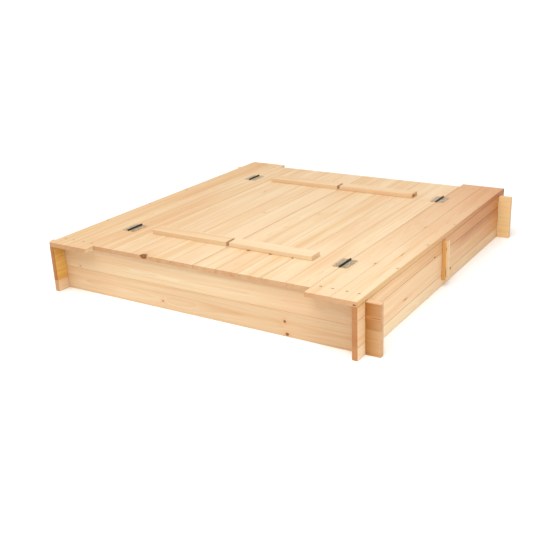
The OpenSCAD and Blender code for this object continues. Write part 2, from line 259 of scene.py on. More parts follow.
def planedSpruce(name, knots=(), warmth=0.0, endShade=0.6, arrisShade=0.08, fades=()):
    # Spruce, planed and left bare: pale and matt, with honey streaks, thin latewood lines along
    # the board, ring arcs on its ends, and knots that the grain bends round. A knot is (place,
    # radii, faintness); some are dark spots of painted shadow. A fade is (tint, ranges): the
    # board takes the tint where every range, of (axis, start, end), has been passed.
    look = timberLook
    material, add, link, surface = newMaterial(name)
    grain = add("ShaderNodeAttribute", attribute_name="grain").outputs["Vector"]
    tone, endGrain, arris = (
        add("ShaderNodeAttribute", attribute_name=mark).outputs["Fac"]
        for mark in ("tone", "endGrain", "arris"))
    place = add("ShaderNodeTexCoord").outputs["Object"]
    noises = {}
    for use, (across, along, detail) in look["noises"].items():
        scale = (1 / across, 1 / along, 1 / across)
        scaled = add("ShaderNodeVectorMath", {0: grain, 1: scale}, operation="MULTIPLY")
        noises[use] = add("ShaderNodeTexNoise", {"Vector": scaled, "Scale": 1.0, "Detail": detail})

    # Distance from the nearest knot or painted shadow spot, in radii of it, and the warm halo round it.
    reach = look["clearWood"]
    for spot, radii, faint in knots:
        near = place
        for operation, other in (("SUBTRACT", spot), ("DIVIDE", radii), ("LENGTH", None)):
            near = add("ShaderNodeVectorMath", {0: near, 1: other}, operation=operation)
        near = add("ShaderNodeMath", {0: near, 1: faint - look["ragged"] / 2}, operation="ADD")
        reach = add("ShaderNodeMath", {0: near, 1: reach}, operation="MINIMUM")
    reach = add("ShaderNodeMath", {0: noises["ragged"], 1: look["ragged"], 2: reach},
                operation="MULTIPLY_ADD")
    halo = add("ShaderNodeMath", {0: reach, 1: -look["haloFade"]}, operation="MULTIPLY")
    halo = add("ShaderNodeMath", {0: halo}, operation="EXPONENT", use_clamp=True)

    # Rings round a pith that runs along the board, below it or above it.
    bend = add("ShaderNodeVectorMath", {0: noises["bend"].outputs["Color"], 1: (0.5, 0.5, 0.5)},
               operation="SUBTRACT")
    bent = add("ShaderNodeVectorMath", {0: bend, 1: (look["wander"],) * 3, 2: grain},
               operation="MULTIPLY_ADD")
    bent = add("ShaderNodeVectorMath", {0: bent, 1: (1, 0, 1)}, operation="MULTIPLY")
    radius = add("ShaderNodeVectorMath", {0: bent}, operation="LENGTH")
    radius = add("ShaderNodeMath", {0: halo, 1: look["knotPush"], 2: radius}, operation="MULTIPLY_ADD")
    uneven = add("ShaderNodeTexNoise",
                 {"W": radius, "Scale": look["yearSpacing"], "Detail": 1.0}, noise_dimensions="1D")
    year = add("ShaderNodeMath", {0: radius, 1: look["ringWidth"]}, operation="DIVIDE")
    year = add("ShaderNodeMath", {0: uneven, 1: look["unevenYears"], 2: year}, operation="MULTIPLY_ADD")
    year = add("ShaderNodeMath", {0: year}, operation="FRACT")
    ring = add("ShaderNodeValToRGB", {0: year})
    ring.color_ramp.elements[1].color = (0, 0, 0, 1)
    for position, dark in look["yearShades"]:
        ring.color_ramp.elements.new(position).color = (dark, dark, dark, 1)

    # Each layer is (how much of it, its tint, how it is laid over the colour so far).
    honeyed = tone
    for use, weight in look["honeyWeights"].items():
        honeyed = add("ShaderNodeMath", {0: noises[use], 1: weight, 2: honeyed},
                      operation="MULTIPLY_ADD")
    honeyed = add("ShaderNodeMath", {0: honeyed, 1: warmth - look["honeyStart"]},
                  operation="ADD", use_clamp=True)
    rosyFrom, rosyTo = look["rosyRange"]
    patchy = add("ShaderNodeMapRange",
                 {0: noises["patch"], 1: rosyFrom, 2: rosyTo, 3: 0.0, 4: look["rosyMost"]})
    fineShade, evenShade = look["ringShade"]
    ringed = add("ShaderNodeMath", {0: noises["fine"], 1: fineShade, 2: evenShade},
                 operation="MULTIPLY_ADD")
    ringed = add("ShaderNodeMath", {0: endGrain, 1: look["endRingShade"], 2: ringed},
                 operation="MULTIPLY_ADD")
    ringed = add("ShaderNodeMath", {0: ring, 1: ringed}, operation="MULTIPLY")
    fibrous = add("ShaderNodeMath", {0: noises["fibre"], 1: look["fibreShade"]}, operation="MULTIPLY")
    sawn = add("ShaderNodeMath", {0: endGrain, 1: endShade}, operation="MULTIPLY")
    edged = add("ShaderNodeMath", {0: arris, 1: arrisShade}, operation="MULTIPLY")
    layers = [
        (honeyed, look["honey"], "MIX"), (patchy, look["rosy"], "MULTIPLY"),
        (ringed, look["latewood"], "MIX"), (fibrous, look["fibreTint"], "MULTIPLY"),
        (sawn, look["endTint"], "MULTIPLY"), (edged, look["jointShadeTint"], "MULTIPLY"),
    ]
    parts = add("ShaderNodeSeparateXYZ", {0: place})
    # Most fades lay painted shade over a part of the board.
    for tint, ranges in fades:
        faded = 1.0
        for axis, start, end in ranges:
            passed = add("ShaderNodeMapRange", {0: parts.outputs[axis], 1: start, 2: end})
            faded = add("ShaderNodeMath", {0: passed, 1: faded}, operation="MULTIPLY")
        layers.append((faded, tint, "MULTIPLY"))
    layers.append((halo, look["knotHalo"], "MIX"))
    colour = toLinear(look["pale"])
    for share, tint, way in layers:
        colour = add("ShaderNodeMix", {0: share, 6: colour, 7: toLinear(tint)},
                     data_type="RGBA", blend_type=way)
    heart = add("ShaderNodeValToRGB", {0: reach})
    heart.color_ramp.elements[0].color = toLinear(look["knotHeart"])
    heart.color_ramp.elements[1].color = toLinear(look["knotRim"])
    heart.color_ramp.elements[1].position = look["rimStart"]
    inside = add("ShaderNodeMapRange", {0: reach, 1: look["knotEdge"][0], 2: look["knotEdge"][1]})
    colour = add("ShaderNodeMix", {0: inside, 6: colour, 7: heart}, data_type="RGBA")
    link(colour.outputs[2], surface["Base Color"])

    rough = add("ShaderNodeMath",
                {0: noises["fibre"], 1: look["roughSpread"], 2: look["roughness"]},
                operation="MULTIPLY_ADD")
    height = add("ShaderNodeMath", {0: noises["fibre"], 1: look["fibreRelief"]}, operation="MULTIPLY")
    height = add("ShaderNodeMath", {0: ring, 1: look["ringRelief"], 2: height},
                 operation="MULTIPLY_ADD")
    bump = add("ShaderNodeBump",
               {"Height": height, "Strength": look["reliefStrength"], "Distance": look["reliefDepth"]})
    link(rough.outputs[0], surface["Roughness"])
    link(bump.outputs[0], surface["Normal"])
    surface["IOR"].default_value = look["ior"]
    return material


steelLook = {
    "colourRange": (0.36, 0.64),    # noise values between which the colour changes
    "roughRange": (0.3, 0.7),
    # Scratches 1 mm wide and 11 mm long, coarser than real ones, so that they show.
    "scratchScale": (1000, 90, 1000),
    "scratchStrength": 0.2,
    "scratchDepth": 0.0001,
}


def platedSteel(name, colour, darker, roughness, spread, spot):
    # Plated steel: a soft metal shine that is mottled, with fine scratches that dull it.
    look = steelLook
    material, add, link, surface = newMaterial(name)
    place = add("ShaderNodeTexCoord").outputs["Object"]
    mottle = add("ShaderNodeTexNoise", {"Vector": place, "Scale": 1 / spot, "Detail": 4.0})
    low, high = look["colourRange"]
    blotchy = add("ShaderNodeMapRange", {0: mottle, 1: low, 2: high})
    tint = add("ShaderNodeMix", {0: blotchy, 6: toLinear(colour), 7: toLinear(darker)},
               data_type="RGBA")
    low, high = look["roughRange"]
    rough = add("ShaderNodeMapRange",
                {0: mottle, 1: low, 2: high, 3: roughness - spread, 4: roughness + spread})
    scratches = add("ShaderNodeMapping", {"Vector": place, "Scale": look["scratchScale"]})
    scratches = add("ShaderNodeTexNoise", {"Vector": scratches, "Scale": 1.0})
    bump = add("ShaderNodeBump", {
        "Height": scratches, "Strength": look["scratchStrength"], "Distance": look["scratchDepth"],
    })
    link(tint.outputs[2], surface["Base Color"])
    link(rough.outputs[0], surface["Roughness"])
    link(bump.outputs[0], surface["Normal"])
    surface["Metallic"].default_value = 1.0
    return material


# Hinge leaves: zinc plate on stamped sheet, gone dull and a little beige.
zincPlatedSteel = platedSteel("zincPlatedSteel", "#E6D6B8", "#BDA686", 0.46, 0.07, 0.007)
# Pins and rolled barrels: bare steel, coloured dark brown.
darkBrownPinSteel = platedSteel("darkBrownPinSteel", "#5B4E43", "#362C25", 0.50, 0.10, 0.003)
# Screws: yellow-passivated zinc, a faint satin gold.
yellowZincSteel = platedSteel("yellowZincSteel", "#D6BC84", "#B9975C", 0.38, 0.08, 0.003)
print("materials: steels are made, timber follows with each piece")


weldDistance = 0.000002


def sectionSweepTree():
    # The input mesh holds one flat face for each member, drawn at y = 0. Each face is run along
    # Y, its ends are eased, and the result is repeated Count times by Step.
    tree, given = newTree("sectionSweep", {
        "Length": "Float", "Ease": "Float", "End Play": "Float", "Seed": "Int",
        "Count": "Int", "Step": "Vector", "Material": "Material",
    })
    add = partial(addNode, tree)
    inwards = add("GeometryNodeInputNamedAttribute", {"Name": "inwards"}, data_type="FLOAT_VECTOR")
    number = add("GeometryNodeInputNamedAttribute", {"Name": "number"}, data_type="INT")
    drawIn = add("ShaderNodeVectorMath", {0: inwards, "Scale": given["Ease"]}, operation="SCALE")
    letOut = add("ShaderNodeVectorMath", {0: drawIn, "Scale": -1.0}, operation="SCALE")
    play = add("FunctionNodeRandomValue", {
        2: 0.0, 3: given["End Play"], "ID": number, "Seed": given["Seed"],
    }, data_type="FLOAT")
    start = add("ShaderNodeMath", {0: given["Length"], 1: -0.5, 2: play}, operation="MULTIPLY_ADD")
    start = add("ShaderNodeCombineXYZ", {"Y": start})
    start = add("ShaderNodeVectorMath", {0: start, 1: drawIn}, operation="ADD")
    nearEnd = add("GeometryNodeSetPosition", {"Geometry": given["Geometry"], "Offset": start})
    eased = add("ShaderNodeMath", {0: given["Ease"], 1: 2.0, 2: given["End Play"]},
                operation="MULTIPLY_ADD")
    between = add("ShaderNodeMath", {0: given["Length"], 1: eased}, operation="SUBTRACT")
    mesh, top = nearEnd, None
    for distance, change in ((given["Ease"], letOut), (between, (0, 0, 0)), (given["Ease"], drawIn)):
        run = add("GeometryNodeExtrudeMesh", {
            "Mesh": mesh, "Selection": top, "Offset": (0, 1, 0), "Offset Scale": distance,
            "Individual": False,
        })
        top = run.outputs["Top"]
        mesh = add("GeometryNodeSetPosition", {"Geometry": run, "Selection": top, "Offset": change})
    cap = add("GeometryNodeFlipFaces", {"Mesh": nearEnd})
    closed = add("GeometryNodeJoinGeometry", {0: cap})
    tree.links.new(mesh.outputs[0], closed.inputs[0])
    closed = add("GeometryNodeMergeByDistance", {"Geometry": closed, "Distance": weldDistance})
    row = add("GeometryNodeMeshLine", {"Count": given["Count"], "Offset": given["Step"]})
    placed = add("GeometryNodeInstanceOnPoints", {"Points": row, "Instance": closed})
    return endTree(tree, placed, given["Material"])


sectionSweep = sectionSweepTree()
sharpestDraw = 0.4  # keeps a sharp corner from being drawn in too far


def sectionMesh(name, outlines):
    # One flat face for each outline, a list of (x, z) points that run clockwise. Each point keeps
    # the direction that draws the outline in by one unit, and its board's number.
    mesh = bpy.data.meshes.new(name)
    points, faces, inwards, numbers = [], [], [], []
    for number, outline in enumerate(outlines):
        first = len(points)
        corners = [Vector(corner) for corner in outline]
        for i, corner in enumerate(corners):
            before = (corner - corners[i - 1]).normalized()
            after = (corners[(i + 1) % len(corners)] - corner).normalized()
            normals = [Vector((edge.y, -edge.x)) for edge in (before, after)]
            draw = (normals[0] + normals[1]) / max(1 + normals[0].dot(normals[1]), sharpestDraw)
            points.append((corner.x, 0, corner.y))
            inwards += [draw.x, 0, draw.y]
            numbers.append(number)
        faces.append(range(first, len(points)))
    mesh.from_pydata(points, [], faces)
    keepValues(mesh, "inwards", "FLOAT_VECTOR", "POINT", inwards)
    keepValues(mesh, "number", "INT", "POINT", numbers)
    return mesh


def sweepPiece(name, outlines, length, ease, material, endPlay=0.0, seed=1, count=1, step=0.0):
    piece = addPiece(name, sectionMesh(name, outlines))
    runTree(piece, sectionSweep, **{
        "Length": length, "Ease": ease, "End Play": endPlay, "Seed": seed,
        "Count": count, "Step": (0, step, 0), "Material": material,
    })
    return piece


def roundedCorner(x, z, turnX, turnZ, radius, steps=3):
    # Points round one corner of a section, from the side that faces turnX to the one that
    # faces turnZ.
    points = []
    for i in range(steps + 1):
        angle = math.pi / 2 * i / steps
        points.append((x - turnX * radius * (1 - math.cos(angle)),
                       z - turnZ * radius * (1 - math.sin(angle))))
    return points


tongueCorner = 0.0006  # how far the corners of tongues and grooves are cut off


def boardOutline(low, high, radius, tongue=None, groove=None):
    # Section between two (x, z) corners. tongue and groove are (side, length, thickness), where
    # side is -1 or 1.
    midZ = (low[1] + high[1]) / 2

    def joint(side):
        x = high[0] if side > 0 else low[0]
        for part, out in ((tongue, 1), (groove, -1)):
            if part and part[0] == side:
                tip = x + side * out * part[1]
                shoulder = midZ + part[2] / 2
                near = tip - side * out * tongueCorner
                upper = [(x, shoulder), (near, shoulder), (tip, shoulder - tongueCorner)]
                return upper + [(px, 2 * midZ - pz) for px, pz in reversed(upper)]
        return []

    outline = roundedCorner(high[0], high[1], 1, 1, radius)[::-1]
    outline += joint(1)
    outline += roundedCorner(high[0], low[1], 1, -1, radius)
    outline += roundedCorner(low[0], low[1], -1, -1, radius)[::-1]
    outline += joint(-1)[::-1]
    outline += roundedCorner(low[0], high[1], -1, 1, radius)
    return outline


log = {
    "pithDepth": (0.028, 0.075),    # from the middle of the board down or up to the pith
    "pithAside": 0.022,
    "length": 9,
    "sawnFrom": (0.5, 0.4),         # a face counts as sawn as it turns from across to along
    "arrisFrom": 0.2,
}


def markGrain(mesh, centres, tones, seed):
    # Each vertex gets its place in its own log: across the board, along it and through it. The
    # board's tone goes along, with a mark on its sawn ends and one on its rounded edges. centres
    # are (across, through).
    draws = random.Random(seed)
    logs = []
    for _ in centres:
        depth = draws.choice((-1, 1)) * draws.uniform(*log["pithDepth"])
        aside = draws.uniform(-log["pithAside"], log["pithAside"])
        logs.append((aside, draws.uniform(0, log["length"]), depth))
    numbers = [0] * len(mesh.vertices)
    if "number" in mesh.attributes:
        mesh.attributes["number"].data.foreach_get("value", numbers)
    grain = []
    for vertex, number in zip(mesh.vertices, numbers):
        across, through = centres[number]
        aside, start, depth = logs[number]
        grain += [vertex.co.x - across + aside, vertex.co.y + start, vertex.co.z - through + depth]
    keepValues(mesh, "grain", "FLOAT_VECTOR", "POINT", grain)
    keepValues(mesh, "tone", "FLOAT", "POINT", [tones[n] for n in numbers])
    start, span = log["sawnFrom"]
    ends = [min(max((abs(face.normal.y) - start) / span, 0.0), 1.0) for face in mesh.polygons]
    keepValues(mesh, "endGrain", "FLOAT", "FACE", ends)
    edges = [float(min(abs(face.normal.x), abs(face.normal.z)) > log["arrisFrom"])
             for face in mesh.polygons]
    keepValues(mesh, "arris", "FLOAT", "FACE", edges)


def hold(piece, body, slot, *nodes):
    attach(piece, body)
    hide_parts(*nodes)


cover = {
    "arris": 0.0014,        # rounding of the boards' long edges, which makes the vee joints
    "swell": 0.0006,        # damp wood swells across, which narrows the gaps between panels
    "ease": 0.0007,         # rounding of the sawn ends
    "endPlay": 0.0006,      # boards of a panel are sawn to length within this
    "tongue": (0.005, 0.0045),   # length and thickness
    "groove": (0.0055, 0.0047),
}

coverPanels = {  # tones of the boards from the middle outwards, seed
    ("left", "strip"): ({"inner": 0.13, "outer": 0.45}, 11),
    ("right", "strip"): ({"inner": -0.40, "outer": -0.45}, 12),
    ("left", "seat"): ({"inner": -0.12, "outer": 0.27}, 13),
    ("right", "seat"): ({"inner": -0.22, "outer": -0.10}, 14),
    ("left", "backrest"): ({"top": -0.34, "middle": 0.05, "bottom": -0.25}, 15),
    ("right", "backrest"): ({"top": -0.20, "middle": 0.06, "bottom": -0.02}, 16),
}

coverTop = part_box("left_seat_inner_board")[1].z
coverKnotsAndShadowSpots = {  # (place on the board, radii in x, y and z, faintness from 0 to 1)
    "leftStripBoards": [((-0.540, 0.100, coverTop), (0.005, 0.006, 0.008), 0.7)],
    "rightStripBoards": [((0.473, -0.325, coverTop), (0.005, 0.008, 0.008), 0.55),
                         ((0.473, 0.045, coverTop), (0.005, 0.007, 0.008), 0.6),
                         ((0.512, -0.225, coverTop), (0.003, 0.042, 0.006), 0.62),
                         ((0.546, -0.600, coverTop - 0.010), (0.006, 0.006, 0.003), 0.1),
                         # Painted shade: a dark spot on the strip's outer edge at its back corner.
                         ((0.556, 0.594, coverTop - 0.007), (0.005, 0.014, 0.009), 0.0)],
    "leftSeatBoards": [((-0.242, 0.205, coverTop), (0.004, 0.012, 0.007), 0.75)],
    "rightSeatBoards": [((0.345, 0.330, coverTop - 0.015), (0.007, 0.008, 0.008), 0.0)],
    "leftBackrestBoards": [((-0.188, -0.564, coverTop - 0.003), (0.015, 0.015, 0.009), 0.05),
                           ((-0.095, -0.030, coverTop), (0.005, 0.006, 0.006), 0.65)],
    "rightBackrestBoards": [((0.089, 0.033, coverTop), (0.005, 0.007, 0.006), 0.75),
                            ((0.130, 0.080, coverTop), (0.002, 0.035, 0.006), 0.7),
                            ((0.060, -0.140, coverTop), (0.004, 0.008, 0.006), 0.85),
                            # Painted shadow: dark dots where the vee joints run in under the front batten.
                            ((0.0793, -0.383, coverTop), (0.007, 0.009, 0.005), 0.0),
                            ((0.1586, -0.383, coverTop), (0.007, 0.009, 0.005), 0.0),
                            ((0.2360, -0.383, coverTop), (0.006, 0.008, 0.005), 0.0)],
}
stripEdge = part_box("right_strip_outer_board")[1].x
edgeSide = (0, stripEdge - 0.003, stripEdge - 0.0005)
# Painted shade: the strip's outer edge is darker, more so towards the back, and its top darkens towards the
# back.
coverShadeFades = {
    "rightStripBoards": [("#E8D6B8", [edgeSide]), ("#E8C8B0", [edgeSide, (1, 0.0, 0.5)]),
                         ("#EDD2C0", [(1, -0.20, 0.52)])],
}


def coverPanel(sideName, panel, boards, seed):
    side = sides[sideName]
    body = "box" if panel == "strip" else f"{sideName}_{panel}"
    name = pieceName(f"{sideName}_{panel}_boards")
    nodes = [f"{sideName}_{panel}_{board}_board" for board in boards]
    tongueLength, tongueThick = cover["tongue"]
    grooveLength, grooveThick = cover["groove"]
    outlines, centres = [], []
    for i, node in enumerate(nodes):
        low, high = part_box(node)
        hasTongue, hasGroove = i < len(nodes) - 1, i > 0
        if hasTongue:  # the node's box takes in the tongue, which the plain section doesn't
            if side > 0:
                high.x -= tongueLength
            else:
                low.x += tongueLength
        atGap = {-side: i == 0, side: i == len(nodes) - 1 and panel != "strip"}
        low.x -= cover["swell"] * atGap[-1]
        high.x += cover["swell"] * atGap[1]
        outlines.append(boardOutline(
            (low.x, low.z), (high.x, high.z), cover["arris"],
            (side, tongueLength, tongueThick) if hasTongue else None,
            (-side, grooveLength, grooveThick) if hasGroove else None,
        ))
        centres.append(((low.x + high.x) / 2, (low.z + high.z) / 2))
    low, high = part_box(nodes[0])
    material = planedSpruce(name + "Spruce", coverKnotsAndShadowSpots[name], fades=coverShadeFades.get(name, ()))
    piece = sweepPiece(name, outlines, high.y - low.y, cover["ease"], material, cover["endPlay"], seed)
    smoothFaces(piece)
    markGrain(piece.data, centres, list(boards.values()), seed)
    hold(piece, body, "cover_boards", *nodes)


for (sideName, panel), (boards, seed) in coverPanels.items():
    coverPanel(sideName, panel, boards, seed)
print("cover: fourteen boards in six panels")


batten = {
    "arris": 0.0016,
    "ease": 0.0012,
    "warmth": 0.05,
    "firstSeed": 31,
}

battens = {  # body, the way it runs, its tone, how dark its sawn ends are
    "left_backrest_front_batten": ("left_backrest", "x", -0.20, 0.1),
    "left_backrest_back_batten": ("left_backrest", "x", -0.05, 0.1),
    "right_backrest_front_batten": ("right_backrest", "x", -0.22, 0.15),
    "right_backrest_back_batten": ("right_backrest", "x", -0.15, 0.6),
    "left_wall_batten": ("box", "z", 0.15, 0.4),
    "right_wall_batten": ("box", "z", 0.12, 0.3),
}
battenLow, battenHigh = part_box("right_backrest_back_batten")
fittingY = (battenLow.y + battenHigh.y) / 2
uprightLow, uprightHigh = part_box("right_wall_batten")
battenKnots = {
    "right_backrest_back_batten": [
        ((battenHigh.x, fittingY - 0.006, battenLow.z + 0.007), (0.006, 0.010, 0.006), 0.2)],
    "right_wall_batten": [
        ((uprightHigh.x, uprightLow.y, 0.050), (0.0022, 0.0022, 0.026), 0.25),
        ((uprightHigh.x, uprightLow.y, 0.128), (0.0022, 0.0022, 0.010), 0.35)],
}
# Painted shade: the right wall batten's front-facing side is tinted orange.
battenShadeFades = {
    "right_wall_batten": [("#EFD6A4", [(1, uprightLow.y + 0.004, uprightLow.y + 0.0005)])],
}

# A member is drawn across in x, along in y and through in z, and then turned into its place.
turnAlong = {
    "x": Matrix(((0, 1, 0, 0), (-1, 0, 0, 0), (0, 0, 1, 0), (0, 0, 0, 1))),
    "z": Matrix(((0, 0, 1, 0), (1, 0, 0, 0), (0, 1, 0, 0), (0, 0, 0, 1))),
}


def placeMember(piece, node, turn):
    low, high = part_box(node)
    piece.data.transform(Matrix.Translation((low + high) / 2) @ turn)
    piece.data.update()


for seed, (node, (body, way, tone, endShade)) in enumerate(battens.items(), batten["firstSeed"]):
    low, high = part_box(node)
    size = high - low
    wide, thick, length = (size.y, size.z, size.x) if way == "x" else (size.y, size.x, size.z)
    outline = boardOutline((-wide / 2, -thick / 2), (wide / 2, thick / 2), batten["arris"])
    name = pieceName(node)
    material = planedSpruce(name + "Spruce", battenKnots.get(node, ()), batten["warmth"], endShade,
                            0.0, battenShadeFades.get(node, ()))
    piece = sweepPiece(name, [outline], length, batten["ease"], material)
    smoothFaces(piece)
    markGrain(piece.data, [(0, 0)], [tone], seed)
    placeMember(piece, node, turnAlong[way])
    hold(piece, body, "battens", node)
print("battens: six")


wall = {
    "arris": 0.0010,
    "arrisSteps": 3,
    "ease": 0.0005,          # rounding of ends and notches
    "notchWidth": 0.018,
    "notchDepth": 0.01925,
    "warmth": 0.06,
    "firstSeed": 51,
}

sameSpot = 1e-6             # points closer than this count as one
turnLong = Matrix(((0, 1, 0, 0), (0, 0, 1, 0), (1, 0, 0, 0), (0, 0, 0, 1)))
turnSide = Matrix(((0, 0, -1, 0), (0, 1, 0, 0), (1, 0, 0, 0), (0, 0, 0, 1)))
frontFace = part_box("front_wall_lower_board")[0].y
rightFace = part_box("right_wall_middle_board")[1].x

crossed = 0.5525            # past this the boards stick out beyond the crossing walls
pastRight = (0, crossed, crossed + 0.003)
pastFront = (1, -crossed, -crossed - 0.003)
# Fades of painted shade: the first darkens the front wall towards its right corner, and the next two darken
# the right wall's middle board towards the back.
frontShade = ("#F6EEE8", [(0, 0.10, 0.55)])
middleShade = ("#E0C0A0", [(1, 0.0, 0.2), (2, 0.075, 0.105)])
paintedBackShade = ("#E6C8AC", [(1, -0.30, 0.55)])
frontSide = (1, frontFace + 0.016, frontFace + 0.003)
innerSide = (0, -rightFace + 0.001, -rightFace + 0.014)
yellowEnd = ("#FFFBE2", [pastRight])
wallBoards = {  # tone, knots, fades, how dark the sawn ends and the edges are
    "front_wall_lower_board": (-0.12, [
        ((0.305, frontFace, 0.046), (0.0045, 0.005, 0.005), 0.1),
        ((0.312, frontFace, 0.008), (0.006, 0.005, 0.005), 0.0),
        ((-0.135, frontFace, 0.025), (0.0045, 0.005, 0.004), 0.35),
    ], [
        frontShade, ("#F3EBE4", [(0, -0.30, 0.05)]),
        # Painted shade: the front face past the right crossing goes orange, darkest near the corner.
        ("#D6B468", [pastRight, (0, 0.62, 0.556), frontSide]),
    ], 0.2, 0.0),
    "front_wall_upper_board": (-0.08, [
        ((-0.475, frontFace, 0.085), (0.004, 0.005, 0.003), 0.5),
        ((0.585, frontFace, 0.111), (0.040, 0.005, 0.0025), 0.6),
    ], [
        frontShade,
        # Painted shade: the front face past the right crossing goes deep orange, darkest near the corner.
        ("#C08F18", [pastRight, (0, 0.66, 0.556), (2, 0.1535, 0.1505), frontSide]),
    ], 0.2, 0.0),
    "back_wall_lower_board": (-0.34, [((-0.210, -frontFace, 0.040), (0.007, 0.006, 0.007), 0.1)],
                              [yellowEnd], 0.3, 0.1),
    "back_wall_upper_board": (-0.40, [((0.330, -frontFace, 0.118), (0.006, 0.006, 0.006), 0.2)],
                              [yellowEnd], 0.3, 0.1),
    "left_wall_bottom_board": (-0.25, [], [], 0.7, 0.2),
    # Painted shade: the inner faces past the front crossing are tinted orange.
    "left_wall_middle_board": (0.02, [((-rightFace, 0.270, 0.070), (0.006, 0.007, 0.007), 0.1)],
                               [("#F7E296", [pastFront, innerSide])], 1.0, 0.2),
    "left_wall_top_board": (0.06, [], [("#F0D88C", [pastFront, innerSide])], 1.0, 0.2),
    # Painted shade: the right wall's boards darken towards the back.
    "right_wall_bottom_board": (-0.35, [((rightFace, 0.065, 0.0365), (0.006, 0.006, 0.0045), 0.0)],
                                [("#F1E7D8", [(1, -0.30, 0.55)])], 1.0, 0.5),
    "right_wall_middle_board": (-0.05, [
        ((rightFace, 0.485, 0.055), (0.005, 0.008, 0.006), 0.7),
        ((rightFace, -0.295, 0.062), (0.004, 0.024, 0.0024), 0.35),
    ], [paintedBackShade, middleShade], 1.0, 0.5),
    "right_wall_top_board": (0.20, [((rightFace, -0.075, 0.1175), (0.006, 0.006, 0.0045), 0.0)],
                             [("#DDB691", [(1, -0.40, 0.50)])], 1.0, 0.5),
}


def extrudedOutline(outline, bottom, thick):
    # A closed solid from a flat outline of (x, y) points.
    builder = bmesh.new()
    face = builder.faces.new([builder.verts.new((x, y, bottom)) for x, y in outline])
    grown = bmesh.ops.extrude_face_region(builder, geom=[face])
    bmesh.ops.translate(builder, vec=(0, 0, thick),
                        verts=[part for part in grown["geom"] if isinstance(part, bmesh.types.BMVert)])
    bmesh.ops.recalc_face_normals(builder, faces=builder.faces)
    return builder


def notchedBoard(name, wide, thick, length, crossing, notchBelow, notchAbove):
    # Face outline with a notch at each crossing, given thickness. Its long edges are rounded more
    # than its ends and notches.
    gap, depth = wall["notchWidth"] / 2, wall["notchDepth"]
    edges = {-1: notchBelow, 1: notchAbove}
    outline = []
    for side in (-1, 1):
        run = [(side * wide / 2, side * length / 2)]
        for end in (side, -side):
            if edges[side]:
                for x, y in ((0, gap), (depth, gap), (depth, -gap), (0, -gap)):
                    run.append((side * (wide / 2 - x), end * crossing + side * y))
        run.append((side * wide / 2, -side * length / 2))
        outline += run
    builder = extrudedOutline(outline, -thick / 2, thick)
    weight = builder.edges.layers.float.new("bevel_weight_edge")
    for edge in builder.edges:
        a, b = (corner.co for corner in edge.verts)
        isLongEdge = max(abs(a.x - b.x), abs(a.z - b.z), abs(abs(a.x) - wide / 2)) < sameSpot
        edge[weight] = 1.0 if isLongEdge else wall["ease"] / wall["arris"]
    piece = addPiece(name, builtMesh(name, builder))
    bevel = piece.modifiers.new("easedEdges", "BEVEL")
    bevel.limit_method = "WEIGHT"
    bevel.width = wall["arris"]
    bevel.segments = wall["arrisSteps"]
    applyModifiers(piece)
    return piece


for seed, (node, (tone, knots, fades, endShade, arrisShade)) in enumerate(
        wallBoards.items(), wall["firstSeed"]):
    isLong = node.startswith(("front", "back"))
    low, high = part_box(node)
    size = high - low
    thick, length = (size.y, size.x) if isLong else (size.x, size.y)
    crossLow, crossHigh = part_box("right_wall_middle_board" if isLong else "back_wall_lower_board")
    crossing = (crossLow.x + crossHigh.x) / 2 if isLong else (crossLow.y + crossHigh.y) / 2
    name = pieceName(node)
    notchBelow, notchAbove = not node.endswith("bottom_board"), not node.endswith("top_board")
    piece = notchedBoard(name, size.z, thick, length, crossing, notchBelow, notchAbove)
    smoothFaces(piece)
    piece.data.materials.append(
        planedSpruce(name + "Spruce", knots, wall["warmth"], endShade, arrisShade, fades))
    markGrain(piece.data, [(0, 0)], [tone], seed)
    placeMember(piece, node, turnLong if isLong else turnSide)
    hold(piece, "box", "wall_boards", node)
print("walls: ten notched boards")


leaf = {
    "length": 0.070,
    "width": 0.024,
    "sheet": 0.0015,
    "corner": 0.0025,
    "cornerSteps": 5,
    "edge": 0.0002,          # rounding that the stamping leaves
    "edgeSteps": 2,
    "edgeAngle": 60,         # degrees above which an edge is rounded
    "sharpAngle": 35,        # degrees above which an edge shows
    "knuckles": 5,
    "knuckleGap": 0.0003,
    "barrelHeight": 0.003,   # the pin's axis above the back of the sheet
    "rollOutside": 0.00298,
    "rollInside": 0.00155,
    "rollTurn": 285,         # degrees that the sheet is rolled round the pin
    "rollSteps": 22,
    "rollLap": 0.0009,       # how far the roll reaches along the flat sheet
    "rollEase": 0.00015,
    "relief": 0.0034,
    "holes": ((0.01248, -0.0245), (0.01728, 0.0), (0.01248, 0.0245)),
    "holeWidth": 0.0032,
    "sinkWidth": 0.0062,
    "sinkDepth": 0.0014,     # leaves a narrow straight edge at the bottom of the hole
    "drillReach": 0.001,     # how far the drill passes through the sheet's faces
}


def turnedMesh(name, profile, steps=24):
    # Revolves (radius, z) points round Z. The first and last points lie on the axis.
    mesh = bpy.data.meshes.new(name)
    points = [(0, 0, profile[0][1])]
    for radius, z in profile[1:-1]:
        for i in range(steps):
            angle = 2 * math.pi * i / steps
            points.append((radius * math.cos(angle), radius * math.sin(angle), z))
    points.append((0, 0, profile[-1][1]))
    rings, last, faces = len(profile) - 2, len(points) - 1, []
    for i in range(steps):
        j = (i + 1) % steps
        faces.append((0, 1 + j, 1 + i))
        for ring in range(rings - 1):
            low, high = 1 + ring * steps, 1 + (ring + 1) * steps
            faces.append((low + i, low + j, high + j, high + i))
        faces.append((last, last - steps + i, last - steps + j))
    mesh.from_pydata(points, [], faces)
    return mesh


def cutAway(piece, cutters, cuttersCross=False):
    for cutter in cutters:
        cut = piece.modifiers.new("cut", "BOOLEAN")
        cut.object = cutter
        cut.use_self = cuttersCross
    applyModifiers(piece)
    for cutter in cutters:
        bpy.data.objects.remove(cutter)


